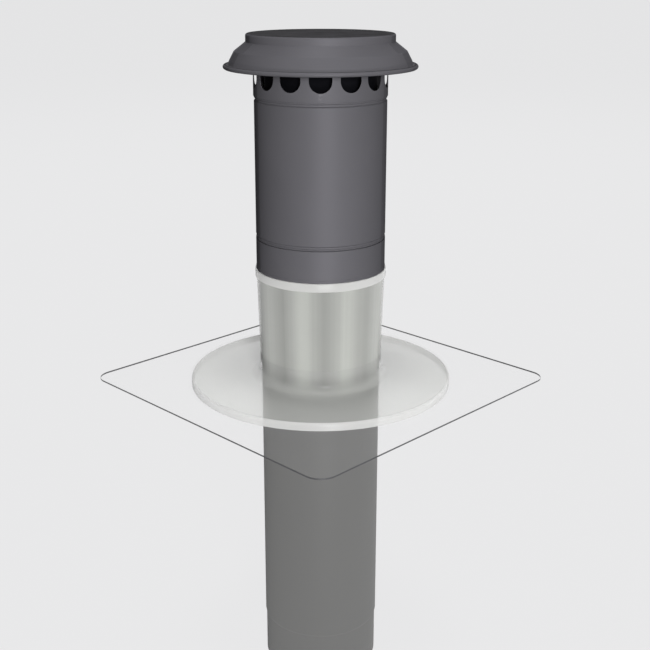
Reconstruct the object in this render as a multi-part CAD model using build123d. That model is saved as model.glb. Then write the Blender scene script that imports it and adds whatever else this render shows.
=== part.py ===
from build123d import *
import os

# Roof terminal with its flat roof flashing, in millimetres.
# The origin is in the middle of the pipe's lower end, and Z points up.

# Flue pipe, the inner one
FLUE_D = 80.0
FLUE_WALL = 2.0
FLUE_RECESS = 6.0
FLUE_RISE = 5.0
FLUE_CHAMFER = 1.0

# Outer pipe, which carries the air around the flue
PIPE_D = 125.0
PIPE_WALL = 0.8
PIPE_DROP = 330.0
PIPE_TOP_GAP = 6.0
PIPE_SPIGOT_H = 50.0
PIPE_NECK_H = 2.0

# Flashing, a round flange and a tapered collar in one piece
FLANGE_D = 275.0
FLANGE_T = 8.0
FLANGE_EDGE_R = 3.0
COLLAR_WALL = 1.4
COLLAR_FOOT_H = 32.0
COLLAR_FOOT_R = 10.0
COLLAR_H = 125.0
MOUTH_D = 136.0
MOUTH_STEP = 1.4
LIP_H = 8.7
LIP_ROUND = 1.0

# Roof sheet, which lies over the flange and turns up round the collar
SHEET_SIDE = 345.0
SHEET_T = 1.6
SHEET_CORNER_R = 18.0
SLEEVE_H = 24.0
STEP_RUN = 2.5
STEP_R = 2.5
STEP_MARGIN = 10.0

# Casing, a sleeve round the pipe in two lengths
CASING_D = 133.2
CASING_WALL = 0.8
SKIRT_H = 32.5
CASING_TUBE_H = 144.5
SPIGOT_H = 12.0
TOP_SPIGOT_H = 6.0
GROOVE_DEPTH = 1.0
GROOVE_H = 1.4
GROOVE_FLANK = 1.2
HEM_H = 3.0
HEM_PROUD = 0.3

# Vent ring with round bottomed ports
VENT_D = 134.3
VENT_WALL = 0.8
VENT_H = 34.5
PORT_COUNT = 14
PORT_W = 22.0
PORT_FOOT_H = 8.5
PORT_HEAD_H = 5.0
PORT_TURN = -45.0

# Lid of the air space, which fits over the vent ring and round the flue
LID_WALL = 0.8
LID_RIM = 5.0
LID_NECK = 4.0

# Rain baffle that hangs from the lid behind the ports
BAFFLE_T = 0.8
BAFFLE_H = 30.0
BAFFLE_GAP = 10.0

# Hood, spun from one sheet
HOOD_WALL = 1.0
HOOD_CLEAR = 24.0
CROWN_D = 148.0
CROWN_WALL_H = 8.0
SHOULDER_RUN = 11.5
SHOULDER_H = 9.0
BROW_RUN = 4.75
BROW_H = 9.0
FLARE_RUN = 1.75
FLARE_H = 4.5
BEAD_R = 2.3
CROWN_EDGE_R = 2.0
CROWN_FOOT_R = 0.8
SHOULDER_R = 4.0
BROW_R = 2.0
FLARE_R = 2.0

# Stays that hold the hood over the flue
STAY_COUNT = 4
STAY_TURN = 45.0
STAY_W = 14.0
STAY_T = 1.2
STAY_FOOT_L = 13.0
STAY_HEAD_L = 12.0
STAY_RADIUS = 57.0
STAY_FOLD_R = 2.2
RIVET_D = 3.2
RIVET_HEAD_D = 6.0
RIVET_HEAD_H = 1.2
RIVET_DOME = 0.8
RIVET_HOLE_GAP = 0.1

# Spring spacers between the two pipes
SPACER_COUNT = 3
SPACER_FOOT_H = 90.0
SPACER_HEAD_H = 90.0
SPACER_BAND_H = 12.0
SPACER_T = 0.8
SPACER_LEG_W = 11.0
SPACER_LEG_H = 44.0
SPACER_LEGS = 3
SPACER_PAD_H = 9.0
SPACER_FOLD_R = 3.0

# Packing rings between the outer pipe and the casing
PACKING_H = 14.0
PACKING_INSET = 6.0
PACKING_GAP = 0.5

# Running clearance between round faces that fit in each other
FIT = 0.15

# Alignments that stand a primitive on a level or hang it below
LOWER = (Align.CENTER, Align.CENTER, Align.MIN)
UPPER = (Align.CENTER, Align.CENTER, Align.MAX)

# Levels and radii worked out from the sizes above
ROOF = PIPE_DROP
PIPE_R = PIPE_D / 2
FLUE_R = FLUE_D / 2
CASING_R = CASING_D / 2
VENT_R = VENT_D / 2
COLLAR_INNER_R = PIPE_R + FIT
COLLAR_R = COLLAR_INNER_R + COLLAR_WALL
SKIRT_FOOT = ROOF + COLLAR_H
TUBE_FOOT = SKIRT_FOOT + SKIRT_H
VENT_FOOT = TUBE_FOOT + CASING_TUBE_H
LID_LEVEL = VENT_FOOT + VENT_H
PIPE_TOP = VENT_FOOT - PIPE_TOP_GAP
CROWN_LEVEL = LID_LEVEL + LID_WALL + HOOD_CLEAR + HOOD_WALL
STAY_FOOT_LEVEL = LID_LEVEL + LID_WALL
STAY_RIVET_RADIUS = STAY_RADIUS - STAY_FOOT_L / 2


def ring(inner, outer, low, high):
    """A plain ring between two radii and two levels."""
    half = Pos((inner + outer) / 2, (low + high) / 2) * Rectangle(outer - inner, high - low)
    return spin(half)


def spin(section):
    """Turns a flat section, drawn as radius and level, round the Z axis."""
    return revolve(Plane.XZ * section, Axis.Z)


def rounded(corners):
    """Closed section from corners, each a point and the radius that rounds it."""
    section = make_face(Polyline(*[point for point, radius in corners], close=True))
    for point, radius in corners:
        if radius > 0:
            corner = section.vertices().sort_by_distance(Vector(*point))[0]
            section = fillet(corner, radius)
    return section


def formed(points, radii, wall, side):
    """Section of sheet of one thickness, folded along points with a radius at each fold."""
    path = FilletPolyline(*points, radius=radii)
    return make_face(offset(path, amount=wall, side=side, closed=True).edges())


def groove(radius, level):
    """Points of a rolled groove in a tube, from its low side up."""
    flank = GROOVE_H / 2 + GROOVE_FLANK
    return [
        (radius, level - flank),
        (radius - GROOVE_DEPTH, level - GROOVE_H / 2),
        (radius - GROOVE_DEPTH, level + GROOVE_H / 2),
        (radius, level + flank),
    ]


def make_flue_pipe():
    pipe = ring(FLUE_R - FLUE_WALL, FLUE_R, FLUE_RECESS, LID_LEVEL + FLUE_RISE)
    rim = pipe.edges().filter_by(GeomType.CIRCLE).group_by(Axis.Z)[0].sort_by(SortBy.RADIUS)[-1]
    return chamfer(rim, min(FLUE_CHAMFER, FLUE_WALL / 2))


def make_outer_pipe():
    """Pipe with its lower end necked to plug into the next pipe."""
    spigot = PIPE_R - PIPE_WALL - FIT
    points = [(spigot, 0), (spigot, PIPE_SPIGOT_H), (PIPE_R, PIPE_SPIGOT_H + PIPE_NECK_H),
              (PIPE_R, PIPE_TOP)]
    return spin(formed(points, [0.0, 0.0], PIPE_WALL, Side.LEFT))


def make_flashing():
    """Flange, collar foot with its fillet, tapered collar and thicker lip in one moulding."""
    flange_r = FLANGE_D / 2
    mouth_r = MOUTH_D / 2
    wall_top = COLLAR_H - LIP_H
    corners = [
        ((COLLAR_INNER_R, 0), 0),
        ((flange_r, 0), 0),
        ((flange_r, FLANGE_T), FLANGE_EDGE_R),
        ((COLLAR_R, FLANGE_T), COLLAR_FOOT_R),
        ((COLLAR_R, COLLAR_FOOT_H), 0),
        ((mouth_r - MOUTH_STEP, wall_top), 0),
        ((mouth_r, wall_top), LIP_ROUND),
        ((mouth_r, COLLAR_H), LIP_ROUND),
        ((mouth_r - MOUTH_STEP - COLLAR_WALL, COLLAR_H), 0),
        ((COLLAR_INNER_R, COLLAR_FOOT_H), 0),
    ]
    return Pos(0, 0, ROOF) * spin(rounded(corners))


def make_roof_sheet():
    """Square sheet pressed over the flange, with the sleeve that turns up at the collar."""
    sleeve_r = COLLAR_R + FIT
    over = FLANGE_T + FIT
    edge = FLANGE_D / 2 + FIT
    reach = edge + STEP_RUN + STEP_MARGIN
    dome = spin(
        formed(
            [(sleeve_r, FLANGE_T + SLEEVE_H), (sleeve_r, over), (edge, over),
             (edge + STEP_RUN, 0), (reach, 0)],
            [COLLAR_FOOT_R - FIT, FLANGE_EDGE_R + FIT, STEP_R],
            SHEET_T,
            Side.LEFT,
        )
    )
    square = RectangleRounded(SHEET_SIDE, SHEET_SIDE, SHEET_CORNER_R) - Circle(reach - STEP_MARGIN / 2)
    return Pos(0, 0, ROOF) * (dome + extrude(square, SHEET_T))


def make_casing_skirt():
    """Lower length of the casing, with a hem at its foot that sits on the collar's lip."""
    top = TUBE_FOOT
    hem_top = SKIRT_FOOT + HEM_H
    inner = CASING_R - CASING_WALL
    section = Polyline(
        (inner, SKIRT_FOOT),
        (CASING_R + HEM_PROUD, SKIRT_FOOT),
        (CASING_R + HEM_PROUD, hem_top - HEM_PROUD),
        (CASING_R, hem_top),
        (CASING_R, top),
        (inner, top),
        (inner, SKIRT_FOOT),
    )
    return spin(make_face(section))


def make_casing_tube():
    """Main length of the casing, necked at both ends to plug into its neighbours."""
    low_spigot = CASING_R - CASING_WALL - FIT
    top_spigot = VENT_R - VENT_WALL - FIT
    low_groove = TUBE_FOOT + GROOVE_H / 2 + 2 * GROOVE_FLANK
    top_groove = VENT_FOOT - GROOVE_H / 2 - 2 * GROOVE_FLANK
    points = [(low_spigot, TUBE_FOOT - SPIGOT_H), (low_spigot, TUBE_FOOT)]
    points += groove(CASING_R, low_groove)
    points += groove(CASING_R, top_groove)
    points += [(top_spigot, VENT_FOOT), (top_spigot, VENT_FOOT + TOP_SPIGOT_H)]
    return spin(formed(points, [0.0] * (len(points) - 2), CASING_WALL, Side.LEFT))


def make_port():
    """Cutter for one port, with straight sides, a half round foot and a flat head."""
    foot = VENT_FOOT + PORT_FOOT_H + PORT_W / 2
    head = LID_LEVEL - PORT_HEAD_H
    shape = Pos(0, foot) * Circle(PORT_W / 2)
    shape += Pos(0, (foot + head) / 2) * Rectangle(PORT_W, head - foot)
    return extrude(Plane.YZ * shape, VENT_R + VENT_WALL)


def make_vent_ring():
    wall = ring(VENT_R - VENT_WALL, VENT_R, VENT_FOOT, LID_LEVEL)
    for place in range(PORT_COUNT):
        wall -= Rot(0, 0, PORT_TURN + place * 360 / PORT_COUNT) * make_port()
    return wall


def make_lid():
    """Sheet lid with a rim outside the vent ring and a neck round the flue."""
    neck = FLUE_R + FIT
    rim = VENT_R + FIT
    lid = spin(
        formed(
            [(neck, LID_LEVEL + LID_NECK), (neck, LID_LEVEL), (rim, LID_LEVEL),
             (rim, LID_LEVEL - LID_RIM)],
            [0, 0],
            LID_WALL,
            Side.LEFT,
        )
    )
    for place in stay_places():
        lid -= place * rivet_hole()
    return lid


def make_baffle():
    """Plain ring under the lid, which keeps rain that enters the ports out of the air space."""
    outer = VENT_R - VENT_WALL - BAFFLE_GAP
    return ring(outer - BAFFLE_T, outer, LID_LEVEL - BAFFLE_H, LID_LEVEL)


def stay_places():
    """Turns that bring one stay to each of its places."""
    return [Rot(0, 0, STAY_TURN + i * 360 / STAY_COUNT) for i in range(STAY_COUNT)]


def rivet_hole():
    hole = Cylinder(RIVET_D / 2 + RIVET_HOLE_GAP, 2 * (LID_WALL + STAY_T))
    return Pos(STAY_RIVET_RADIUS, 0, STAY_FOOT_LEVEL) * hole


def make_stay():
    """Strip with a foot on the lid, a riser and a head that is welded under the crown."""
    under_crown = CROWN_LEVEL - HOOD_WALL
    strip = formed(
        [(STAY_RADIUS - STAY_FOOT_L, STAY_FOOT_LEVEL), (STAY_RADIUS, STAY_FOOT_LEVEL),
         (STAY_RADIUS, under_crown - STAY_T), (STAY_RADIUS + STAY_HEAD_L, under_crown - STAY_T)],
        [STAY_FOLD_R, STAY_FOLD_R],
        STAY_T,
        Side.LEFT,
    )
    body = extrude(Plane.XZ * strip, STAY_W / 2, both=True)
    return body - rivet_hole()


def make_rivet():
    """Domed head on the stay's foot, a shank through both sheets and a set head below."""
    top = STAY_FOOT_LEVEL + STAY_T
    grip = STAY_T + LID_WALL
    shank = Pos(0, 0, top - grip / 2) * Cylinder(RIVET_D / 2, grip)
    head = Pos(0, 0, top) * Cylinder(RIVET_HEAD_D / 2, RIVET_HEAD_H, align=LOWER)
    tail = Pos(0, 0, LID_LEVEL) * Cylinder(RIVET_HEAD_D / 2, RIVET_HEAD_H, align=UPPER)
    head = fillet(head.edges().group_by(Axis.Z)[-1], RIVET_HEAD_H * RIVET_DOME)
    return Pos(STAY_RIVET_RADIUS, 0, 0) * (head + shank + tail)


def make_hood():
    """Flat crown, short wall, straight shoulder, rounded brow, flare and rolled bead."""
    points = [(0, CROWN_LEVEL)]
    radius, level = CROWN_D / 2, CROWN_LEVEL
    points.append((radius, level))
    steps = [(0, CROWN_WALL_H), (SHOULDER_RUN, SHOULDER_H), (BROW_RUN, BROW_H),
             (FLARE_RUN, FLARE_H), (BEAD_R, 0)]
    for run, drop in steps:
        radius += run
        level -= drop
        points.append((radius, level))
    folds = [CROWN_EDGE_R, CROWN_FOOT_R, SHOULDER_R, BROW_R, FLARE_R]
    shell = spin(formed(points, folds, HOOD_WALL, Side.RIGHT))
    bead = Pos(radius, level + HOOD_WALL - BEAD_R) * Circle(BEAD_R)
    return shell + spin(bead)


def make_spacer(level):
    """Band round the flue with spring legs that bear on the inside of the outer pipe."""
    inner = FLUE_R + FIT
    reach = PIPE_R - PIPE_WALL - FIT
    pad = (reach ** 2 - (SPACER_LEG_W / 2) ** 2) ** 0.5 - SPACER_T
    top = level + SPACER_LEG_H
    spacer = ring(inner, inner + SPACER_T, level - SPACER_BAND_H / 2, level + SPACER_BAND_H / 2)
    leg = formed(
        [(inner, level), (inner, level + SPACER_BAND_H / 2), (pad, top - SPACER_PAD_H),
         (pad, top)],
        [SPACER_FOLD_R, SPACER_FOLD_R],
        SPACER_T,
        Side.RIGHT,
    )
    blade = extrude(Plane.XZ * leg, SPACER_LEG_W / 2, both=True)
    for place in range(SPACER_LEGS):
        spacer += Rot(0, 0, place * 360 / SPACER_LEGS) * blade
    return spacer


def make_packing(low, high):
    return ring(PIPE_R + FIT, CASING_R - CASING_WALL - FIT, low, high)


def make_parts():
    """Every piece by its name."""
    parts = {
        "hood": make_hood(),
        "lid": make_lid(),
        "rain_baffle": make_baffle(),
        "vent_ring": make_vent_ring(),
        "casing_tube": make_casing_tube(),
        "casing_skirt": make_casing_skirt(),
        "outer_pipe": make_outer_pipe(),
        "flue_pipe": make_flue_pipe(),
        "flashing": make_flashing(),
        "roof_sheet": make_roof_sheet(),
        "lower_packing": make_packing(
            SKIRT_FOOT + PACKING_INSET, TUBE_FOOT - SPIGOT_H - PACKING_GAP
        ),
        "upper_packing": make_packing(
            PIPE_TOP - PACKING_INSET - PACKING_H, PIPE_TOP - PACKING_INSET
        ),
    }
    stay = make_stay()
    rivet = make_rivet()
    for i, place in enumerate(stay_places()):
        parts[f"hood_stay_{i + 1}"] = place * stay
    parts["stay_rivets"] = Compound(children=[place * rivet for place in stay_places()])
    pitch = (PIPE_TOP - SPACER_HEAD_H - SPACER_FOOT_H) / (SPACER_COUNT - 1)
    for i in range(SPACER_COUNT):
        parts[f"flue_spacer_{i + 1}"] = make_spacer(SPACER_FOOT_H + i * pitch)
    return parts


os.makedirs("parts", exist_ok=True)
for name, shape in make_parts().items():
    export_step(shape, f"parts/{name}.step")
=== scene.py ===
import math

import bpy
from mathutils import Matrix, Vector


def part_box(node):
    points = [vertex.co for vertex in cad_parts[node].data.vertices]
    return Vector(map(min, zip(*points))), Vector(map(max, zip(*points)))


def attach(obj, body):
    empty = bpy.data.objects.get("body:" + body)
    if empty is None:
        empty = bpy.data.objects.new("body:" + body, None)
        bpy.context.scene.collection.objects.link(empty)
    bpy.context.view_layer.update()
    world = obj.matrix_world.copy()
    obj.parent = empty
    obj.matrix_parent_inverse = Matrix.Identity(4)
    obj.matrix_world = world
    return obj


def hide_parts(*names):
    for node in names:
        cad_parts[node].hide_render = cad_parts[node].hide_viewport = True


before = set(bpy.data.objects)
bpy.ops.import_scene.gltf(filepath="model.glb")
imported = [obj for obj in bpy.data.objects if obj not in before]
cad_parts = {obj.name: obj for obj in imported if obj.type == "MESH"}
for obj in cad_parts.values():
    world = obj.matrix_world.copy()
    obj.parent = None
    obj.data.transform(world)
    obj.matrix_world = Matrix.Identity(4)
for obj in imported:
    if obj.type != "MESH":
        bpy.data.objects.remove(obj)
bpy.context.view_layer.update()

bl_info = {
    "name": "Flue terminal in a roof flashing",
    "version": (1, 0, 0),
    "blender": (4, 5, 0),
    "location": "3D View > Sidebar > Roof terminal",
    "description": "Builds a flat roof flashing with its roof sheet and the flue terminal "
                   "that stands in it",
    "category": "Add Mesh",
}

# Boxes of the solids, which give the pieces their outer sizes and levels
HOOD_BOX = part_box("hood")
VENT_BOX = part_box("vent_ring")
TUBE_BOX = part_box("casing_tube")
SKIRT_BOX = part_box("casing_skirt")
PIPE_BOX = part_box("outer_pipe")
FLASHING_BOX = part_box("flashing")
SHEET_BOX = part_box("roof_sheet")
BODY = "root"

# Fineness of the meshes
SEGMENTS = 160
PORT_SEGMENTS = 64
CORNER_SEGMENTS = 8
ARC_STEPS = 6
BEAD_STEPS = 14
MERGE = 2e-6
SMOOTH_ANGLE = math.radians(32)

# Small sizes of the sections, in metres
CROWN_MIDDLE = 0.0023
CROWN_EDGE_ROUND = 0.002
CROWN_FOOT_ROUND = 0.0008
SHOULDER_ROUND = 0.004
BROW_ROUND = 0.002
FLARE_ROUND = 0.002
NECK_ROUND = 0.001
FLANGE_FOOT_ROUND = 0.0004
COLLAR_ROUND = 0.004
LIP_FOOT_ROUND = 0.0006
MOUTH_ROUND = 0.0005
SLEEVE_RIM = 0.002

# Shades, painted gloss bands and painted top shade of the finishes
LIP_BLEND = 0.0004
# Count of the painted highlight bands, and the turn of the painted shaded band, which faces the
# camera
GLOSS_BAND_COUNT = 9
SHADED_BAND_TURN = math.radians(-41)
# Painted shade colour for faces that look up
TOP_SHADE_COLOUR = (0.022, 0.0215, 0.021)
THICK_PLASTIC = (0.84, 0.84, 0.83)

# Floor and soft lamps. A lamp has its turn clockwise from the front and its rise, both in
# degrees, its distance, its width and height, the setting with its power, and its share of that
FLOOR_SIDE = 60
LAMP_AIM = 0.45
LAMPS = {
    "key_lamp": (-10, 10, 5.0, (1.1, 1.1), "key_power", 1.0),
    "top_lamp": (0, 86, 5.0, (1.2, 1.2), "top_power", 1.0),
    "back_lamp": (180, 40, 5.0, (2.5, 2.5), "back_power", 1.0),
    "low_lamp": (-8, -14, 1.35, (0.5, 0.2), "low_power", 1.0),
    "left_lamp": (45, -8, 1.6, (0.22, 0.6), "side_power", 0.6),
    "right_lamp": (-50, -5, 1.6, (0.22, 0.6), "side_power", 1.0),
}


# Sizes and colours that a user may change

class TerminalSizes(bpy.types.PropertyGroup):
    """Sizes of the turned and pressed pieces, in metres."""

    crown_radius: bpy.props.FloatProperty(
        name="Crown radius", description="Flat top of the hood", default=0.074, unit="LENGTH")
    crown_wall: bpy.props.FloatProperty(
        name="Crown wall", description="Height of the short wall under the crown",
        default=0.008, unit="LENGTH")
    shoulder_radius: bpy.props.FloatProperty(
        name="Shoulder radius", description="Foot of the sloping shoulder",
        default=0.0855, unit="LENGTH")
    shoulder_drop: bpy.props.FloatProperty(
        name="Shoulder drop", description="Foot of the shoulder below the crown",
        default=0.017, unit="LENGTH")
    brow_radius: bpy.props.FloatProperty(
        name="Brow radius", description="Foot of the steep brow", default=0.09025, unit="LENGTH")
    brow_drop: bpy.props.FloatProperty(
        name="Brow drop", description="Foot of the brow below the crown",
        default=0.026, unit="LENGTH")
    flare_radius: bpy.props.FloatProperty(
        name="Flare radius", description="Start of the flat flare", default=0.092, unit="LENGTH")
    flare_drop: bpy.props.FloatProperty(
        name="Flare drop", description="Flare below the crown", default=0.0305, unit="LENGTH")
    bead_radius: bpy.props.FloatProperty(
        name="Bead radius", description="Rolled bead at the rim", default=0.0023, unit="LENGTH")
    hood_wall: bpy.props.FloatProperty(
        name="Hood wall", description="Sheet of the hood", default=0.001, unit="LENGTH")
    casing_radius: bpy.props.FloatProperty(
        name="Casing radius", description="Outside of the casing",
        default=TUBE_BOX[1][0], unit="LENGTH")
    casing_wall: bpy.props.FloatProperty(
        name="Casing wall", description="Sheet of the casing, the vent ring and the outer pipe",
        default=0.0008, unit="LENGTH")
    groove_depth: bpy.props.FloatProperty(
        name="Groove depth", description="Rolled grooves in the casing",
        default=0.001, unit="LENGTH")
    groove_height: bpy.props.FloatProperty(
        name="Groove height", description="Flat floor of a groove", default=0.0014, unit="LENGTH")
    groove_flank: bpy.props.FloatProperty(
        name="Groove flank", description="Height of a groove's flank",
        default=0.0012, unit="LENGTH")
    hem_height: bpy.props.FloatProperty(
        name="Hem height", description="Folded hem at the casing's foot",
        default=0.003, unit="LENGTH")
    hem_proud: bpy.props.FloatProperty(
        name="Hem proud", description="How far the hem stands out", default=0.0003, unit="LENGTH")
    port_count: bpy.props.IntProperty(
        name="Ports", description="Ports round the vent ring", default=14, min=3)
    port_width: bpy.props.FloatProperty(
        name="Port width", description="Width of one port", default=0.022, unit="LENGTH")
    port_foot: bpy.props.FloatProperty(
        name="Port foot", description="Foot of a port over the ring's lower edge",
        default=0.0085, unit="LENGTH")
    port_head: bpy.props.FloatProperty(
        name="Port head", description="Head of a port under the ring's upper edge",
        default=0.005, unit="LENGTH")
    port_turn: bpy.props.FloatProperty(
        name="Port turn", description="Direction of the first port, from +X",
        default=math.radians(-45), subtype="ANGLE")
    pipe_radius: bpy.props.FloatProperty(
        name="Pipe radius", description="Outside of the outer pipe",
        default=PIPE_BOX[1][0], unit="LENGTH")
    pipe_spigot: bpy.props.FloatProperty(
        name="Pipe spigot", description="Necked lower end of the outer pipe",
        default=0.05, unit="LENGTH")
    pipe_neck: bpy.props.FloatProperty(
        name="Pipe neck", description="Height of the neck over the spigot",
        default=0.002, unit="LENGTH")
    fit: bpy.props.FloatProperty(
        name="Fit", description="Clearance between round faces", default=0.00015, unit="LENGTH")
    collar_wall: bpy.props.FloatProperty(
        name="Collar wall", description="Wall of the collar", default=0.0014, unit="LENGTH")
    collar_foot: bpy.props.FloatProperty(
        name="Collar foot", description="Straight foot of the collar over the roof",
        default=0.032, unit="LENGTH")
    foot_fillet: bpy.props.FloatProperty(
        name="Foot fillet", description="Fillet between the flange and the collar",
        default=0.010, unit="LENGTH")
    mouth_radius: bpy.props.FloatProperty(
        name="Mouth radius", description="Outside of the collar's lip",
        default=0.068, unit="LENGTH")
    lip_height: bpy.props.FloatProperty(
        name="Lip height", description="Height of the thick lip", default=0.0087, unit="LENGTH")
    lip_step: bpy.props.FloatProperty(
        name="Lip step", description="How far the lip stands out", default=0.0014, unit="LENGTH")
    lip_round: bpy.props.FloatProperty(
        name="Lip round", description="Rounding of the lip", default=0.001, unit="LENGTH")
    flange_thickness: bpy.props.FloatProperty(
        name="Flange thickness", description="Thickness of the flange",
        default=0.008, unit="LENGTH")
    flange_round: bpy.props.FloatProperty(
        name="Flange round", description="Rounding of the flange's edge",
        default=0.003, unit="LENGTH")
    sheet_thickness: bpy.props.FloatProperty(
        name="Sheet thickness", description="Thickness of the roof sheet",
        default=0.0016, unit="LENGTH")
    sheet_corner: bpy.props.FloatProperty(
        name="Sheet corner", description="Corner radius of the roof sheet",
        default=0.018, unit="LENGTH")
    step_run: bpy.props.FloatProperty(
        name="Step run", description="Slope of the sheet at the flange's edge",
        default=0.0025, unit="LENGTH")
    step_margin: bpy.props.FloatProperty(
        name="Step margin", description="Pressed margin round the flange",
        default=0.010, unit="LENGTH")


class TerminalColours(bpy.types.PropertyGroup):
    """Colours of the finishes of the same names, as linear values."""

    casing_paint: bpy.props.FloatVectorProperty(
        name="Casing paint", description="Anthracite paint of the casing and hood",
        subtype="COLOR", size=3, default=(0.140, 0.137, 0.150), min=0, max=1)
    pipe_paint: bpy.props.FloatVectorProperty(
        name="Pipe paint", description="Mid grey coating of the pipe",
        subtype="COLOR", size=3, default=(0.215, 0.215, 0.212), min=0, max=1)
    collar_plastic: bpy.props.FloatVectorProperty(
        name="Collar plastic", description="See-through grey of the flashing",
        subtype="COLOR", size=3, default=(0.72, 0.73, 0.70), min=0, max=1)
    sheet_film: bpy.props.FloatVectorProperty(
        name="Sheet film", description="Nearly clear roof sheet",
        subtype="COLOR", size=3, default=(0.80, 0.80, 0.81), min=0, max=1)
    # painted shade of the film's cut edge
    sheet_edge: bpy.props.FloatVectorProperty(
        name="Sheet edge", description="Dark cut edge of the roof sheet",
        subtype="COLOR", size=3, default=(0.07, 0.07, 0.075), min=0, max=1)
    flue_plastic: bpy.props.FloatVectorProperty(
        name="Flue plastic", description="Black flue pipe",
        subtype="COLOR", size=3, default=(0.012, 0.012, 0.014), min=0, max=1)
    # near-black of the rain baffle, partly painted shade behind the ports
    inner_black: bpy.props.FloatVectorProperty(
        name="Inner black", description="Matt black behind the ports",
        subtype="COLOR", size=3, default=(0.006, 0.006, 0.008), min=0, max=1)
    packing_rubber: bpy.props.FloatVectorProperty(
        name="Packing rubber", description="Packing rings",
        subtype="COLOR", size=3, default=(0.020, 0.020, 0.020), min=0, max=1)
    strip_steel: bpy.props.FloatVectorProperty(
        name="Strip steel", description="Spring strips of the spacers",
        subtype="COLOR", size=3, default=(0.52, 0.52, 0.54), min=0, max=1)
    stage_paint: bpy.props.FloatVectorProperty(
        name="Stage paint", description="Pale floor and background",
        subtype="COLOR", size=3, default=(0.807, 0.807, 0.814), min=0, max=1)


class TerminalStage(bpy.types.PropertyGroup):
    """Camera and light."""

    azimuth: bpy.props.FloatProperty(
        name="Azimuth", description="Where the camera stands, from -Y towards +X",
        default=math.radians(45), subtype="ANGLE")
    pitch: bpy.props.FloatProperty(
        name="Pitch", description="How far the camera looks down",
        default=math.radians(16.2), subtype="ANGLE")
    distance: bpy.props.FloatProperty(
        name="Distance", description="Camera to the point it looks at",
        default=1.100, unit="LENGTH")
    aim: bpy.props.FloatProperty(
        name="Aim", description="Height of that point on the pipe's axis",
        default=0.447, unit="LENGTH")
    lens: bpy.props.FloatProperty(
        name="Lens", description="Focal length in millimetres", default=58.25, unit="CAMERA")
    shift: bpy.props.FloatProperty(
        name="Shift", description="Upright shift of the picture", default=-0.08)
    side_shift: bpy.props.FloatProperty(
        name="Side shift", description="Sideways shift of the picture", default=0.0068)
    key_power: bpy.props.FloatProperty(
        name="Key power", description="Soft lamp in front, in watts", default=139.0, unit="POWER")
    low_power: bpy.props.FloatProperty(
        name="Low power", description="Low soft lamp in front, in watts",
        default=5.0, unit="POWER")
    side_power: bpy.props.FloatProperty(
        name="Side power", description="Upright soft lamps at the sides, in watts",
        default=1.6, unit="POWER")
    top_power: bpy.props.FloatProperty(
        name="Top power", description="Soft lamp overhead, in watts", default=95.0, unit="POWER")
    back_power: bpy.props.FloatProperty(
        name="Back power", description="Soft lamp behind, in watts", default=88.0, unit="POWER")
    world_strength: bpy.props.FloatProperty(
        name="World strength", description="Even light from all round", default=0.10)


# Sections, as points of radius and level

def rounded_path(corners, closed=False):
    """Points along corners of (radius from the axis, level, rounding), with arcs for roundings."""
    path = []
    count = len(corners)
    for i, (x, z, rounding) in enumerate(corners):
        inner = closed or 0 < i < count - 1
        if rounding <= 0 or not inner:
            path.append((x, z))
            continue
        corner = Vector((x, z))
        before = (Vector(corners[i - 1][:2]) - corner).normalized()
        after = (Vector(corners[(i + 1) % count][:2]) - corner).normalized()
        half = before.angle(after) / 2
        centre = corner + (before + after).normalized() * rounding / math.sin(half)
        start = corner + before * rounding / math.tan(half) - centre
        turn = start.angle_signed(corner + after * rounding / math.tan(half) - centre)
        for step in range(ARC_STEPS + 1):
            # angle_signed is positive clockwise, and Rotation is positive the other way
            spoke = Matrix.Rotation(-turn * step / ARC_STEPS, 2) @ start
            path.append(tuple(centre + spoke))
    return path


def beside(path, wall):
    """The path moved sideways by the wall, to its right as it runs."""
    moved = []
    for i, point in enumerate(path):
        here = Vector(point)
        ways = []
        if i > 0:
            ways.append((here - Vector(path[i - 1])).normalized())
        if i < len(path) - 1:
            ways.append((Vector(path[i + 1]) - here).normalized())
        along = sum(ways, Vector((0, 0))).normalized()
        right = Vector((along.y, -along.x))
        moved.append(tuple(here + right * wall / along.dot(ways[0])))
    return moved


# Modelling by operators

def rest():
    """Object mode with nothing selected."""
    if bpy.context.object is not None and bpy.context.object.mode != "OBJECT":
        bpy.ops.object.mode_set(mode="OBJECT")
    bpy.ops.object.select_all(action="DESELECT")


def pick(*pieces):
    """Selects these pieces alone, with the first one active."""
    rest()
    for piece in pieces:
        piece.select_set(True)
    bpy.context.view_layer.objects.active = pieces[0]


def edit_all():
    """Edit mode with the whole mesh selected."""
    bpy.ops.object.mode_set(mode="EDIT")
    bpy.ops.mesh.select_all(action="SELECT")


def drawn_out(name, section):
    """Circle that is extruded and resized along its section, ring by ring, left in edit mode."""
    rest()
    radius, level = section[0]
    bpy.ops.mesh.primitive_circle_add(vertices=SEGMENTS, radius=radius, location=(0, 0, level))
    piece = bpy.context.object
    piece.name = piece.data.name = name
    bpy.ops.object.transform_apply(location=True, rotation=False, scale=False)
    edit_all()
    for new_radius, new_level in section[1:]:
        share = new_radius / radius
        bpy.ops.mesh.extrude_region_move(
            TRANSFORM_OT_translate={"value": (0, 0, new_level - level)})
        bpy.ops.transform.resize(value=(share, share, 1), center_override=(0, 0, new_level))
        radius, level = new_radius, new_level
    return piece


def turned(name, section, closed=True):
    """Turned piece: its section is a closed loop, or runs from the axis back to the axis."""
    piece = drawn_out(name, section + section[:1] if closed else section)
    bpy.ops.mesh.select_all(action="SELECT")
    bpy.ops.mesh.remove_doubles(threshold=MERGE)
    if not closed:
        bpy.ops.mesh.fill_holes(sides=0)
    edit_all()
    bpy.ops.mesh.normals_make_consistent(inside=False)
    bpy.ops.object.mode_set(mode="OBJECT")
    return piece


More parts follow.
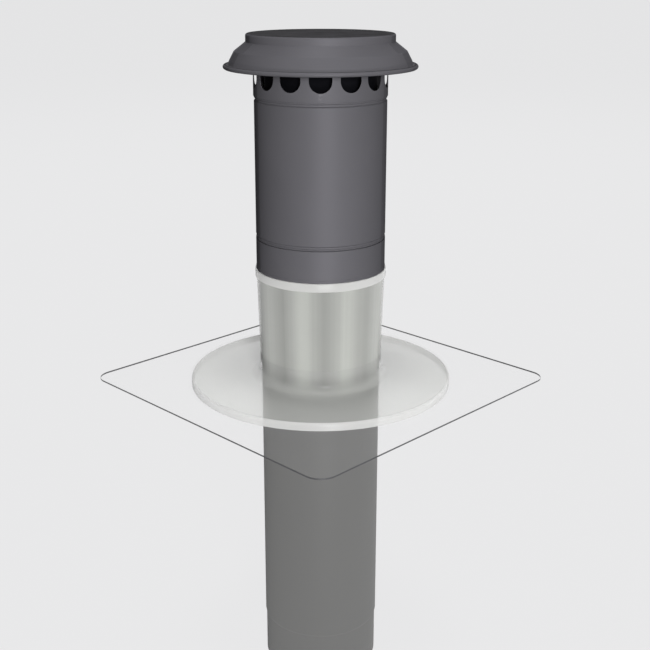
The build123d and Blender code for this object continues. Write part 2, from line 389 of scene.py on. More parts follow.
def finish_piece(piece, node, slot, *materials):
    """Smooths a finished piece, gives it its finish and its body, and hides the solid."""
    pick(piece)
    bpy.ops.object.shade_smooth_by_angle(angle=SMOOTH_ANGLE)
    for material in materials:
        piece.data.materials.append(material)
    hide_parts(node)
    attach(piece, BODY)
    rest()


def repaint(material, *nodes):
    """Gives solids that stay in view their finish."""
    for name in nodes:
        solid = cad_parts[name]
        solid.data.materials.clear()
        solid.data.materials.append(material)


def apply_modifiers(piece):
    """Applies every modifier of a piece in order."""
    pick(piece)
    for name in [modifier.name for modifier in piece.modifiers]:
        bpy.ops.object.modifier_apply(modifier=name)


# Nodes

def put(tree, kind, **settings):
    """New node with its settings."""
    node = tree.nodes.new(kind)
    for key, value in settings.items():
        setattr(node, key, value)
    return node


def connect(tree, value, socket):
    """Gives an input a socket, a number or a colour."""
    if isinstance(value, bpy.types.NodeSocket):
        tree.links.new(value, socket)
    elif isinstance(value, (int, float)):
        socket.default_value = value
    else:
        socket.default_value = (*value, 1)


def feed(tree, node, **inputs):
    """Gives a node's inputs what they take; _ stands for the space in an input's name."""
    for label, value in inputs.items():
        connect(tree, value, node.inputs[label.replace("_", " ")])
    return node


def sums(tree, operation, *values):
    """Math node on sockets or numbers."""
    node = put(tree, "ShaderNodeMath", operation=operation)
    for socket, value in zip(node.inputs, values):
        connect(tree, value, socket)
    return node.outputs[0]


def remap(tree, value, low, high, start, end):
    """Clamped change of range."""
    node = feed(tree, put(tree, "ShaderNodeMapRange"), Value=value,
                From_Min=low, From_Max=high, To_Min=start, To_Max=end)
    return node.outputs["Result"]


def place(tree):
    """Position on the piece, in metres from the pipe's lower end."""
    return put(tree, "ShaderNodeTexCoord").outputs["Object"]


def parts(tree, vector):
    """The X, Y and Z of a vector."""
    return feed(tree, put(tree, "ShaderNodeSeparateXYZ"), Vector=vector).outputs


def off_axis(tree, spot):
    """Distance from the pipe's axis."""
    squares = [sums(tree, "POWER", spot[way], 2.0) for way in "XY"]
    return sums(tree, "SQRT", sums(tree, "ADD", *squares))


def noise(tree, where, scale, detail=3.0, rough=0.6):
    """Cloudy noise about a half."""
    node = feed(tree, put(tree, "ShaderNodeTexNoise"),
                Vector=where, Scale=scale, Detail=detail, Roughness=rough)
    return node.outputs["Fac"]


def shades(tree, mask, below, above):
    """Colour between two colours, by a mask."""
    mix = put(tree, "ShaderNodeMix", data_type="RGBA")
    return feed(tree, mix, Factor=mask, A=below, B=above).outputs["Result"]


def scaled(colour, share):
    """A darker or lighter shade of a colour."""
    return tuple(min(1.0, value * share) for value in colour)


def cloudy(tree, skin, colour, dark, light):
    """A colour's darker and lighter shades, in the patches of a skin."""
    return shades(tree, skin.outputs["Patch"], scaled(colour, dark), scaled(colour, light))


def bumped(tree, shader, height, distance, strength):
    """Fine relief on the shader."""
    bump = feed(tree, put(tree, "ShaderNodeBump"),
                Height=height, Distance=distance, Strength=strength)
    feed(tree, shader, Normal=bump.outputs["Normal"])


# Shader node groups, each made once and shared by the finishes

def new_group(name, inputs, outputs):
    """Empty shader group with float inputs, given with their defaults, and float outputs."""
    group = bpy.data.node_groups.new(name, "ShaderNodeTree")
    for label, default in inputs.items():
        socket = group.interface.new_socket(
            name=label, in_out="INPUT", socket_type="NodeSocketFloat")
        socket.default_value = default
    for label in outputs:
        group.interface.new_socket(name=label, in_out="OUTPUT", socket_type="NodeSocketFloat")
    start = group.nodes.new("NodeGroupInput")
    end = group.nodes.new("NodeGroupOutput")
    return group, start.outputs, end


def paint_skin():
    """Orange peel of a sprayed coat, and slow patches in its shade."""
    group, given, end = new_group(
        "Paint skin", {"Peel Scale": 900.0, "Patch Scale": 9.0}, ["Height", "Patch"])
    where = place(group)
    patch = noise(group, where, given["Patch Scale"], 4.0)
    feed(group, end, Height=noise(group, where, given["Peel Scale"], 2.0, 0.5),
         Patch=remap(group, patch, 0.3, 0.7, 0.0, 1.0))
    return group


def lathe_rings():
    """Fine rings that spinning or rolling leaves round the axis."""
    group, given, end = new_group("Lathe rings", {"Ring Scale": 1600.0}, ["Height"])
    spot = parts(group, place(group))
    travel = sums(group, "ADD", off_axis(group, spot), spot["Z"])
    wave = feed(group, put(group, "ShaderNodeTexNoise", noise_dimensions="1D"), Scale=1.0,
                W=sums(group, "MULTIPLY", travel, given["Ring Scale"]), Detail=2.0)
    feed(group, end, Height=wave.outputs["Fac"])
    return group


def edge_wear():
    """Mask of edges that hands and tools have rubbed."""
    group, given, end = new_group("Edge wear", {"Spread": 0.06, "Grain": 260.0}, ["Mask"])
    point = put(group, "ShaderNodeNewGeometry").outputs["Pointiness"]
    sharp = sums(group, "DIVIDE", sums(group, "SUBTRACT", point, 0.5), given["Spread"])
    spots = remap(group, noise(group, place(group), given["Grain"]), 0.42, 0.62, 0.0, 1.0)
    clipped = remap(group, sharp, 0.35, 1.0, 0.0, 1.0)
    feed(group, end, Mask=sums(group, "MULTIPLY", clipped, spots))
    return group


def settled_soot():
    """Mask of painted shade on faces that look up, from a slope given by its start."""
    group, given, end = new_group("Settled soot", {"Amount": 0.5, "Start": 0.2}, ["Mask"])
    up = parts(group, put(group, "ShaderNodeNewGeometry").outputs["Normal"])["Z"]
    facing = remap(group, up, given["Start"], 0.97, 0.0, 1.0)
    cloud = remap(group, noise(group, place(group), 38.0, 5.0, 0.65), 0.3, 0.7, 0.75, 1.0)
    top_shade = sums(group, "MULTIPLY", facing, cloud)
    feed(group, end, Mask=sums(group, "MULTIPLY", top_shade, given["Amount"]))
    return group


def upright_streaks():
    """Uneven upright bands round the axis, as painted highlights and painted shade on a glossy
    wall.
    """
    group, given, end = new_group("Upright streaks", {"Count": 9.0, "Phase": 0.0}, ["Mask"])
    spot = parts(group, place(group))
    turn = sums(group, "ARCTAN2", spot["Y"], spot["X"])
    wave = sums(group, "MULTIPLY", turn, given["Count"])
    wave = sums(group, "COSINE", sums(group, "ADD", wave, given["Phase"]))
    spoke = feed(group, put(group, "ShaderNodeCombineXYZ"),
                 X=sums(group, "COSINE", turn), Y=sums(group, "SINE", turn)).outputs[0]
    depth = remap(group, noise(group, spoke, 2.3), 0.35, 0.65, 0.25, 0.5)
    fine = remap(group, noise(group, spoke, 14.0), 0.3, 0.7, -0.07, 0.07)
    level = sums(group, "MULTIPLY_ADD", wave, depth, 0.5)
    feed(group, end, Mask=sums(group, "ADD", level, fine))
    return group


GROUPS = {}


def use(tree, maker, **values):
    """Node for a shared group, which its maker makes on first use, with its own values."""
    if maker not in GROUPS:
        GROUPS[maker] = maker()
    return feed(tree, put(tree, "ShaderNodeGroup", node_tree=GROUPS[maker]), **values)


# Finishes, each made on its Principled shader from its colour

def casing_paint(tree, shader, colour):
    """Satin anthracite paint over rolled or spun sheet, with painted shade on what looks up."""
    skin = use(tree, paint_skin, Peel_Scale=850.0, Patch_Scale=11.0)
    wear = use(tree, edge_wear, Spread=0.13, Grain=300.0).outputs["Mask"]
    top_shade = use(tree, settled_soot, Amount=0.80, Start=0.82).outputs["Mask"]
    rings = use(tree, lathe_rings, Ring_Scale=1500.0)
    coat = cloudy(tree, skin, colour, 0.97, 1.04)
    worn = shades(tree, sums(tree, "MULTIPLY", wear, 0.35), coat, scaled(colour, 1.9))
    satin = remap(tree, skin.outputs["Patch"], 0.0, 1.0, 0.50, 0.56)
    # faces that look up are darkened by painted shade, and made rougher
    feed(tree, shader, Base_Color=shades(tree, top_shade, worn, TOP_SHADE_COLOUR),
         Roughness=sums(tree, "ADD", satin, sums(tree, "MULTIPLY", top_shade, 0.3)),
         Specular_IOR_Level=0.0, Specular_Tint=(0.05, 0.05, 0.05), Metallic=0.18)
    spun = sums(tree, "MULTIPLY", rings.outputs["Height"], 0.5)
    bumped(tree, shader, sums(tree, "ADD", skin.outputs["Height"], spun), 0.00004, 0.3)


def pipe_paint(tree, shader, colour):
    """Mid grey coating with the faint rings of the rolled tube."""
    skin = use(tree, paint_skin, Peel_Scale=1600.0, Patch_Scale=3.5)
    rings = use(tree, lathe_rings, Ring_Scale=350.0).outputs["Height"]
    wear = use(tree, edge_wear, Spread=0.16, Grain=240.0).outputs["Mask"]
    coat = cloudy(tree, skin, colour, 0.985, 1.015)
    worn = shades(tree, sums(tree, "MULTIPLY", wear, 0.4), coat, scaled(colour, 1.6))
    feed(tree, shader, Base_Color=worn, Roughness=remap(tree, rings, 0.2, 0.8, 0.44, 0.54),
         Metallic=0.1, Specular_IOR_Level=0.03, Diffuse_Roughness=0.8)
    bumped(tree, shader, rings, 0.00002, 0.2)


def collar_plastic(tree, shader, colour):
    """See-through grey plastic, denser in the thick lip and the flange's edge, with painted
    highlight bands on the collar and a flange painted lighter.
    """
    s = bpy.context.scene.terminal_sizes
    (_, _, low), (rim_radius, _, high) = FLASHING_BOX
    lip_foot = high - s.lip_height
    flange_top = low + s.flange_thickness
    spot = parts(tree, place(tree))
    lip = remap(tree, spot["Z"], lip_foot - LIP_BLEND, lip_foot, 0.0, 1.0)
    rim = remap(tree, off_axis(tree, spot), rim_radius - s.flange_round,
                rim_radius - s.flange_round / 2, 0.0, 1.0)
    thick = sums(tree, "MAXIMUM", lip, rim)
    flat = remap(tree, spot["Z"], flange_top, flange_top + s.foot_fillet, 1.0, 0.0)
    cloud = use(tree, paint_skin, Peel_Scale=500.0, Patch_Scale=16.0)
    # upright bands of painted highlight round the collar, with a painted shaded band facing the
    # camera
    gloss_band = use(tree, upright_streaks, Count=GLOSS_BAND_COUNT,
                 Phase=math.pi - GLOSS_BAND_COUNT * SHADED_BAND_TURN).outputs["Mask"]
    painted_bands = sums(tree, "MULTIPLY", gloss_band, sums(tree, "SUBTRACT", 1.0, flat))
    # the flat flange takes a lighter shade of the plastic, as painted light on its upward face
    body = shades(tree, sums(tree, "ADD", painted_bands, sums(tree, "MULTIPLY", flat, 0.9)),
                  scaled(colour, 0.86), scaled(colour, 1.16))
    veil = remap(tree, cloud.outputs["Patch"], 0.0, 1.0, 0.40, 0.43)
    # the painted highlight bands also make the plastic a little denser
    veil = sums(tree, "ADD", veil, sums(tree, "MULTIPLY", painted_bands, 0.08))
    veil = sums(tree, "SUBTRACT", veil, sums(tree, "MULTIPLY", flat, 0.02))
    feed(tree, shader, Base_Color=shades(tree, thick, body, THICK_PLASTIC),
         Alpha=sums(tree, "MAXIMUM", veil, sums(tree, "MULTIPLY", thick, 0.70)),
         Roughness=remap(tree, cloud.outputs["Height"], 0.3, 0.7, 0.20, 0.27),
         IOR=1.49, Specular_IOR_Level=0.25, Diffuse_Roughness=0.9)
    bumped(tree, shader, cloud.outputs["Height"], 0.00003, 0.3)


def sheet_film(tree, shader, colour):
    """Nearly clear film of the roof sheet."""
    cloud = use(tree, paint_skin, Peel_Scale=320.0, Patch_Scale=10.0)
    feed(tree, shader, Base_Color=cloudy(tree, cloud, colour, 0.97, 1.0),
         Alpha=remap(tree, cloud.outputs["Patch"], 0.0, 1.0, 0.025, 0.04),
         Roughness=remap(tree, cloud.outputs["Height"], 0.3, 0.7, 0.14, 0.22), IOR=1.45)
    bumped(tree, shader, cloud.outputs["Height"], 0.00004, 0.3)


def sheet_edge(tree, shader, colour):
    """Cut edge of the film, painted dark as the shade that a clear film's edge shows, so it looks
    dark from any side.
    """
    cloud = use(tree, paint_skin, Peel_Scale=700.0, Patch_Scale=60.0)
    feed(tree, shader, Base_Color=cloudy(tree, cloud, colour, 0.85, 1.1),
         Alpha=remap(tree, cloud.outputs["Patch"], 0.0, 1.0, 0.92, 0.98),
         Roughness=remap(tree, cloud.outputs["Height"], 0.3, 0.7, 0.35, 0.5))
    bumped(tree, shader, cloud.outputs["Height"], 0.00004, 0.4)


def flue_plastic(tree, shader, colour):
    """Matt black moulded pipe with drawn rings."""
    skin = use(tree, paint_skin, Peel_Scale=700.0, Patch_Scale=14.0)
    rings = use(tree, lathe_rings, Ring_Scale=1100.0)
    feed(tree, shader, Base_Color=cloudy(tree, skin, colour, 0.8, 1.4),
         Roughness=remap(tree, skin.outputs["Patch"], 0.0, 1.0, 0.65, 0.8),
         Specular_IOR_Level=0.08)
    height = sums(tree, "ADD", skin.outputs["Height"], rings.outputs["Height"])
    bumped(tree, shader, height, 0.00003, 0.3)


def inner_black(tree, shader, colour):
    """Matt black finish of the rain baffle behind the ports, whose near-black also stands in as
    painted shade inside the ring.
    """
    skin = use(tree, paint_skin, Peel_Scale=900.0, Patch_Scale=25.0)
    feed(tree, shader, Base_Color=cloudy(tree, skin, colour, 0.7, 1.2),
         Roughness=remap(tree, skin.outputs["Patch"], 0.0, 1.0, 0.85, 0.95),
         Specular_IOR_Level=0.04)
    bumped(tree, shader, skin.outputs["Height"], 0.00004, 0.4)


def packing_rubber(tree, shader, colour):
    """Dull black rubber with a bloom."""
    skin = use(tree, paint_skin, Peel_Scale=1400.0, Patch_Scale=40.0)
    feed(tree, shader, Base_Color=cloudy(tree, skin, colour, 1.0, 1.8),
         Roughness=remap(tree, skin.outputs["Patch"], 0.0, 1.0, 0.75, 0.9))
    bumped(tree, shader, skin.outputs["Height"], 0.0001, 0.6)


def strip_steel(tree, shader, colour):
    """Spring steel strip with rolling marks and a slightly uneven shine."""
    skin = use(tree, paint_skin, Peel_Scale=1600.0, Patch_Scale=60.0)
    rings = use(tree, lathe_rings, Ring_Scale=2600.0).outputs["Height"]
    feed(tree, shader, Base_Color=cloudy(tree, skin, colour, 0.85, 1.05),
         Roughness=remap(tree, rings, 0.2, 0.8, 0.24, 0.42), Metallic=1.0)
    bumped(tree, shader, rings, 0.00004, 0.5)


def backdrop_rays(tree):
    """1 for the rays that show the pale backdrop: in the picture, in gloss, through plastic."""
    seen = put(tree, "ShaderNodeLightPath").outputs
    shown = sums(tree, "MAXIMUM", seen["Is Camera Ray"], seen["Is Glossy Ray"])
    return sums(tree, "MAXIMUM", shown, seen["Is Transmission Ray"])


def stage_paint(tree, shader, colour):
    """Pale floor that keeps its shade in the picture and still takes a soft shadow."""
    grain = noise(tree, place(tree), 30.0, 3.0, 0.5)
    feed(tree, shader,
         Base_Color=shades(tree, grain, scaled(colour, 0.056), scaled(colour, 0.060)),
         Roughness=1.0, Specular_IOR_Level=0.0, Emission_Color=colour,
         Emission_Strength=sums(tree, "MULTIPLY", backdrop_rays(tree), 0.960))


FINISHES = {maker.__name__: maker for maker in (
    casing_paint, pipe_paint, collar_plastic, sheet_film, sheet_edge, flue_plastic,
    inner_black, packing_rubber, strip_steel, stage_paint)}
MATERIALS = {}


def finish(name):
    """The material of that name, made on first use with the colour of the same name."""
    if name not in MATERIALS:
        material = MATERIALS[name] = bpy.data.materials.new(name)
        material.use_nodes = True
        tree = material.node_tree
        colour = getattr(bpy.context.scene.terminal_colours, name)
        FINISHES[name](tree, tree.nodes["Principled BSDF"], colour)
    return MATERIALS[name]


# Operators, one for each piece or group of like pieces

class TERMINAL_OT_hood(bpy.types.Operator):
    """Spin the rain hood with its crown, shoulder, brow, flare and rolled bead"""

    bl_idname = "terminal.hood"
    bl_label = "Rain hood"

    def execute(self, context):
        s = context.scene.terminal_sizes
        crown = HOOD_BOX[1][2]
        rim = s.flare_radius + s.bead_radius
        flare = crown - s.flare_drop
        outside = rounded_path([
            (CROWN_MIDDLE, crown, 0),
            (s.crown_radius, crown, CROWN_EDGE_ROUND),
            (s.crown_radius, crown - s.crown_wall, CROWN_FOOT_ROUND),
            (s.shoulder_radius, crown - s.shoulder_drop, SHOULDER_ROUND),
            (s.brow_radius, crown - s.brow_drop, BROW_ROUND),
            (s.flare_radius, flare, FLARE_ROUND),
            (rim, flare, 0),
        ])
        inside = beside(outside, s.hood_wall)
        centre = flare + s.hood_wall - s.bead_radius
        # the flare runs into the bead on its upper and its lower face
        upper = math.pi - math.asin((flare - centre) / s.bead_radius)
        lower = math.pi - math.asin((flare - s.hood_wall - centre) / s.bead_radius)
        outside[-1] = (rim + s.bead_radius * math.cos(upper), flare)
        inside[-1] = (rim + s.bead_radius * math.cos(lower), flare - s.hood_wall)
        sweep = upper + 2 * math.pi - lower
        bead = []
        for step in range(1, BEAD_STEPS):
            angle = upper - sweep * step / BEAD_STEPS
            bead.append((rim + s.bead_radius * math.cos(angle),
                         centre + s.bead_radius * math.sin(angle)))
        hood = turned("hood_spun", outside + bead + inside[::-1], closed=False)
        finish_piece(hood, "hood", "dark_paint", finish("casing_paint"))
        return {"FINISHED"}


class TERMINAL_OT_vent_ring(bpy.types.Operator):
    """Roll the vent ring and cut its ports"""

    bl_idname = "terminal.vent_ring"
    bl_label = "Vent ring"

    def execute(self, context):
        s = context.scene.terminal_sizes
        (_, _, low), (radius, _, high) = VENT_BOX
        inner = radius - s.casing_wall
        edge = s.casing_wall / 4
        ring = turned("vent_ring_cut", rounded_path([
            (inner, low, edge), (radius, low, edge), (radius, high, edge), (inner, high, edge),
        ], closed=True))
        cutter = self.port_cutters(context, radius, low, high)
        cut = ring.modifiers.new("ports", "BOOLEAN")
        cut.object = cutter
        cut.operation = "DIFFERENCE"
        cut.solver = "EXACT"
        apply_modifiers(ring)
        bpy.data.objects.remove(cutter)
        finish_piece(ring, "vent_ring", "dark_paint", finish("casing_paint"))
        return {"FINISHED"}

    def port_cutters(self, context, radius, low, high):
        """Bars with a half round foot and a flat head, one for each port, in one object."""
        s = context.scene.terminal_sizes
        level = low + s.port_foot + s.port_width / 2
        head = high - s.port_head
        rest()
        bpy.ops.mesh.primitive_cylinder_add(
            vertices=PORT_SEGMENTS, radius=s.port_width / 2, depth=radius,
            location=(radius, 0, level), rotation=(0, math.pi / 2, 0))
        bar = context.object
        bpy.ops.object.transform_apply(location=True, rotation=True, scale=True)
        # the upper half is flattened at the head's level
        vertices = bar.data.vertices
        for vertex in vertices:
            vertex.select = vertex.co.z > level + MERGE
        for side in (*bar.data.edges, *bar.data.polygons):
            side.select = all(vertices[i].select for i in side.vertices)
        bpy.ops.object.mode_set(mode="EDIT")
        bpy.ops.transform.resize(value=(1, 1, 0), center_override=(radius, 0, head))
        bpy.ops.object.mode_set(mode="OBJECT")
        bars = []
        for port in range(s.port_count):
            copy = bar.copy()
            copy.data = bar.data.copy()
            turn = s.port_turn + port * 2 * math.pi / s.port_count
            copy.data.transform(Matrix.Rotation(turn, 4, "Z"))
            context.scene.collection.objects.link(copy)
            bars.append(copy)
        bpy.data.objects.remove(bar)
        pick(*bars)
        bpy.ops.object.join()
        return context.object


def groove(s, level):
    """Corners of one rolled groove in the casing, from its high side down."""
    half = s.groove_height / 2
    flank = half + s.groove_flank
    soft = s.groove_flank / 2
    floor = s.casing_radius - s.groove_depth
    return [
        (s.casing_radius, level + flank, soft),
        (floor, level + half, soft / 2),
        (floor, level - half, soft / 2),
        (s.casing_radius, level - flank, soft),
    ]


class TERMINAL_OT_casing(bpy.types.Operator):
    """Roll the casing's tube with its grooves and the skirt with its hem"""

    bl_idname = "terminal.casing"
    bl_label = "Casing"

    def execute(self, context):
        s = context.scene.terminal_sizes
        self.tube(s)
        self.skirt(s)
        return {"FINISHED"}

    def tube(self, s):
        """The tube, with a spigot at each end for the skirt and the vent ring."""
        low, high = TUBE_BOX[0][2], TUBE_BOX[1][2]
        seam = SKIRT_BOX[1][2]
        shoulder = VENT_BOX[0][2]
        low_spigot = s.casing_radius - s.casing_wall - s.fit
        top_spigot = VENT_BOX[1][0] - s.casing_wall - s.fit
        inset = s.groove_height / 2 + 2 * s.groove_flank
        outside = rounded_path([
            (top_spigot, high, 0),
            (top_spigot, shoulder, 0),
            *groove(s, shoulder - inset),
            *groove(s, seam + inset),
            (low_spigot, seam, 0),
            (low_spigot, low, 0),
        ])
        inside = beside(outside, s.casing_wall)
        tube = turned("casing_tube_rolled", outside + inside[::-1])
        finish_piece(tube, "casing_tube", "dark_paint", finish("casing_paint"))

    def skirt(self, s):
        """The skirt, with its hem folded out at the foot."""
        low, high = SKIRT_BOX[0][2], SKIRT_BOX[1][2]
        inner = s.casing_radius - s.casing_wall
        proud = s.casing_radius + s.hem_proud
        skirt = turned("casing_skirt_rolled", rounded_path([
            (inner, low, 0),
            (proud, low, s.hem_proud),
            (proud, low + s.hem_height - s.hem_proud, s.hem_proud),
            (s.casing_radius, low + s.hem_height, s.hem_proud / 2),
            (s.casing_radius, high, s.casing_wall / 3),
            (inner, high, 0),
        ], closed=True))
        finish_piece(skirt, "casing_skirt", "dark_paint", finish("casing_paint"))


class TERMINAL_OT_outer_pipe(bpy.types.Operator):
    """Roll the outer pipe with its necked lower end"""

    bl_idname = "terminal.outer_pipe"
    bl_label = "Outer pipe"

    def execute(self, context):
        s = context.scene.terminal_sizes
        low, high = PIPE_BOX[0][2], PIPE_BOX[1][2]
        spigot = s.pipe_radius - s.casing_wall - s.fit
        outside = rounded_path([
            (s.pipe_radius, high, 0),
            (s.pipe_radius, low + s.pipe_spigot + s.pipe_neck, NECK_ROUND),
            (spigot, low + s.pipe_spigot, NECK_ROUND),
            (spigot, low, 0),
        ])
        inside = beside(outside, s.casing_wall)
        pipe = turned("outer_pipe_rolled", outside + inside[::-1])
        finish_piece(pipe, "outer_pipe", "pipe_paint", finish("pipe_paint"))
        return {"FINISHED"}


class TERMINAL_OT_flashing(bpy.types.Operator):
    """Mould the flange, the collar and its lip in one piece"""

    bl_idname = "terminal.flashing"
    bl_label = "Flashing"

    def execute(self, context):
        s = context.scene.terminal_sizes
        (_, _, low), (flange, _, high) = FLASHING_BOX
        inner = s.pipe_radius + s.fit
        outer = inner + s.collar_wall
        wall = s.mouth_radius - s.lip_step
        top = low + s.flange_thickness
        flashing = turned("flashing_moulded", rounded_path([
            (inner, low, 0),
            (flange, low, FLANGE_FOOT_ROUND),
            (flange, top, s.flange_round),
            (outer, top, s.foot_fillet),
            (outer, low + s.collar_foot, COLLAR_ROUND),
            (wall, high - s.lip_height, LIP_FOOT_ROUND),
            (s.mouth_radius, high - s.lip_height, s.lip_round),
            (s.mouth_radius, high, s.lip_round),
            (wall - s.collar_wall, high, MOUTH_ROUND),
            (inner, low + s.collar_foot, COLLAR_ROUND),
        ], closed=True))
        finish_piece(flashing, "flashing", "clear_grey_plastic", finish("collar_plastic"))
        return {"FINISHED"}


class TERMINAL_OT_roof_sheet(bpy.types.Operator):
    """Press the square roof sheet over the flange and turn its sleeve up at the collar"""

    bl_idname = "terminal.roof_sheet"
    bl_label = "Roof sheet"

    def execute(self, context):
        s = context.scene.terminal_sizes
        low, high = SHEET_BOX[0][2], SHEET_BOX[1][2]
        sleeve = s.pipe_radius + 2 * s.fit + s.collar_wall
        over_flange = low + s.flange_thickness + s.fit
        edge = FLASHING_BOX[1][0] + s.fit
        sheet = drawn_out("roof_sheet_pressed", rounded_path([
            (sleeve, high, 0),
            (sleeve, over_flange, s.foot_fillet - s.fit),
            (edge, over_flange, s.flange_round + s.fit),
            (edge + s.step_run, low, s.step_run),
            (edge + s.step_run + s.step_margin, low, 0),
        ]))
        self.square(sheet, s, low)
        wall = sheet.modifiers.new("thickness", "SOLIDIFY")
        wall.thickness = s.sheet_thickness
        wall.offset = 1.0
        wall.use_even_offset = True
        wall.material_offset_rim = 1
        sheet.data.materials.append(finish("sheet_film"))
        sheet.data.materials.append(finish("sheet_edge"))
        apply_modifiers(sheet)
        self.clear_sleeve_rim(sheet, high)
        finish_piece(sheet, "roof_sheet", "clear_film")
        return {"FINISHED"}

    def square(self, sheet, s, low):
        """Adds the flat square round the turned middle, from an outline with rounded corners."""
        side = SHEET_BOX[1][0] - SHEET_BOX[0][0]
        rest()
        bpy.ops.mesh.primitive_plane_add(size=side, location=(0, 0, low))
        outline = bpy.context.object
        bpy.ops.object.transform_apply(location=True, rotation=False, scale=False)
        edit_all()
        bpy.ops.mesh.bevel(affect="VERTICES", offset=s.sheet_corner,
                           segments=CORNER_SEGMENTS, profile=0.5)
        bpy.ops.mesh.select_all(action="SELECT")
        bpy.ops.mesh.delete(type="ONLY_FACE")
        pick(sheet, outline)
        bpy.ops.object.join()
        bpy.ops.object.mode_set(mode="EDIT")
        bpy.ops.mesh.select_all(action="DESELECT")
        bpy.ops.object.mode_set(mode="OBJECT")
        # the outline and the middle's edge are the open edges on the sheet's level
        faces_of = {}
        for polygon in sheet.data.polygons:
            for key in polygon.edge_keys:
                faces_of[key] = faces_of.get(key, 0) + 1
        vertices = sheet.data.vertices
        for edge in sheet.data.edges:
            on_level = all(abs(vertices[i].co.z - low) < MERGE for i in edge.vertices)
            edge.select = on_level and faces_of.get(edge.key, 0) < 2
        bpy.ops.object.mode_set(mode="EDIT")
        bpy.ops.mesh.select_mode(type="EDGE")
        bpy.ops.mesh.fill(use_beauty=True)
        edit_all()
        bpy.ops.mesh.normals_make_consistent(inside=False)
        bpy.ops.object.mode_set(mode="OBJECT")
        # the sheet is open, so its normals are turned to look up
        if sum(polygon.normal.z * polygon.area for polygon in sheet.data.polygons) < 0:
            edit_all()
            bpy.ops.mesh.flip_normals()
            bpy.ops.object.mode_set(mode="OBJECT")

    def clear_sleeve_rim(self, sheet, high):
        """Keeps the dark edge to the outline: the sleeve's rim is film."""
        for polygon in sheet.data.polygons:
            if polygon.material_index == 1 and polygon.center.z > high - SLEEVE_RIM:
                polygon.material_index = 0


class TERMINAL_OT_inner_parts(bpy.types.Operator):
    """Give the lid, baffle, stays, rivets, flue, spacers and packings their finishes"""

    bl_idname = "terminal.inner_parts"
    bl_label = "Inner parts"

    def execute(self, context):
        stays = [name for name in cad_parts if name.startswith("hood_stay_")]
        spacers = [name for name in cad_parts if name.startswith("flue_spacer_")]
        repaint(finish("casing_paint"), "lid", "stay_rivets", *stays)
        # the baffle is a real part; its near-black finish is also painted shade behind the ports
        repaint(finish("inner_black"), "rain_baffle")
        repaint(finish("flue_plastic"), "flue_pipe")
        repaint(finish("packing_rubber"), "lower_packing", "upper_packing")
        repaint(finish("strip_steel"), *spacers)
        return {"FINISHED"}


def aim_at(thing, level, turn, rise, distance):
    """Puts a lamp or a camera round the axis and turns it to a point on the axis."""
    target = Vector((0, 0, level))
    way = Vector((math.sin(turn) * math.cos(rise), -math.cos(turn) * math.cos(rise),
                  math.sin(rise)))
    thing.location = target + way * distance
    thing.rotation_euler = (-way).to_track_quat("-Z", "Y").to_euler()


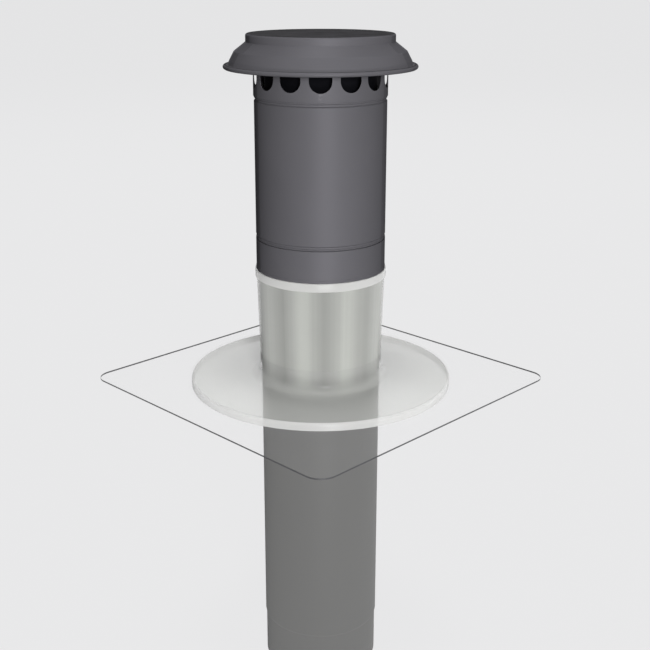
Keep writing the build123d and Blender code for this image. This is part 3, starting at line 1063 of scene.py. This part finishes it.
class TERMINAL_OT_stage(bpy.types.Operator):
    """Set the pale floor, the soft lamps and the camera"""

    bl_idname = "terminal.stage"
    bl_label = "Stage"

    def execute(self, context):
        s = context.scene.terminal_stage
        rest()
        bpy.ops.mesh.primitive_plane_add(size=FLOOR_SIDE, location=(0, 0, 0))
        floor = context.object
        floor.name = "floor"
        floor.data.materials.append(finish("stage_paint"))
        self.world(context)
        for name, (turn, rise, distance, size, power, share) in LAMPS.items():
            bpy.ops.object.light_add(type="AREA")
            lamp = context.object
            lamp.name = name
            lamp.data.shape = "RECTANGLE"
            lamp.data.size, lamp.data.size_y = size
            lamp.data.energy = getattr(s, power) * share
            lamp.visible_camera = False
            aim_at(lamp, LAMP_AIM, s.azimuth - math.radians(turn), math.radians(rise), distance)
        self.camera(context)
        context.scene.view_settings.view_transform = "Standard"
        return {"FINISHED"}

    def world(self, context):
        """Even light all round, seen as the pale background."""
        world = context.scene.world = bpy.data.worlds.new("pale_world")
        world.use_nodes = True
        tree = world.node_tree
        strength = context.scene.terminal_stage.world_strength
        feed(tree, tree.nodes["Background"], Color=context.scene.terminal_colours.stage_paint,
             Strength=remap(tree, backdrop_rays(tree), 0.0, 1.0, strength, 1.0))

    def camera(self, context):
        """Camera at the height and distance of the stage's settings, without depth of field."""
        s = context.scene.terminal_stage
        bpy.ops.object.camera_add()
        camera = context.scene.camera = context.object
        camera.data.lens = s.lens
        camera.data.shift_x = s.side_shift
        camera.data.shift_y = s.shift
        camera.data.dof.use_dof = False
        aim_at(camera, s.aim, s.azimuth, s.pitch, s.distance)


class TERMINAL_PT_panel(bpy.types.Panel):
    """Buttons for each piece of the terminal"""

    bl_idname = "TERMINAL_PT_panel"
    bl_label = "Roof terminal"
    bl_space_type = "VIEW_3D"
    bl_region_type = "UI"
    bl_category = "Roof terminal"

    def draw(self, context):
        for operator in OPERATORS:
            self.layout.operator(operator.bl_idname)


SETTINGS = {
    "terminal_sizes": TerminalSizes,
    "terminal_colours": TerminalColours,
    "terminal_stage": TerminalStage,
}
OPERATORS = [
    TERMINAL_OT_stage,
    TERMINAL_OT_hood,
    TERMINAL_OT_vent_ring,
    TERMINAL_OT_casing,
    TERMINAL_OT_outer_pipe,
    TERMINAL_OT_flashing,
    TERMINAL_OT_roof_sheet,
    TERMINAL_OT_inner_parts,
]


def register():
    for name, group in SETTINGS.items():
        bpy.utils.register_class(group)
        setattr(bpy.types.Scene, name, bpy.props.PointerProperty(type=group))
    for operator in OPERATORS:
        bpy.utils.register_class(operator)
    bpy.utils.register_class(TERMINAL_PT_panel)


def unregister():
    bpy.utils.unregister_class(TERMINAL_PT_panel)
    for operator in reversed(OPERATORS):
        bpy.utils.unregister_class(operator)
    for name, group in SETTINGS.items():
        delattr(bpy.types.Scene, name)
        bpy.utils.unregister_class(group)


def main():
    register()
    bpy.ops.terminal.stage()
    bpy.ops.terminal.hood()
    bpy.ops.terminal.vent_ring()
    bpy.ops.terminal.casing()
    bpy.ops.terminal.outer_pipe()
    bpy.ops.terminal.flashing()
    bpy.ops.terminal.roof_sheet()
    bpy.ops.terminal.inner_parts()


if __name__ == "__main__":
    main()
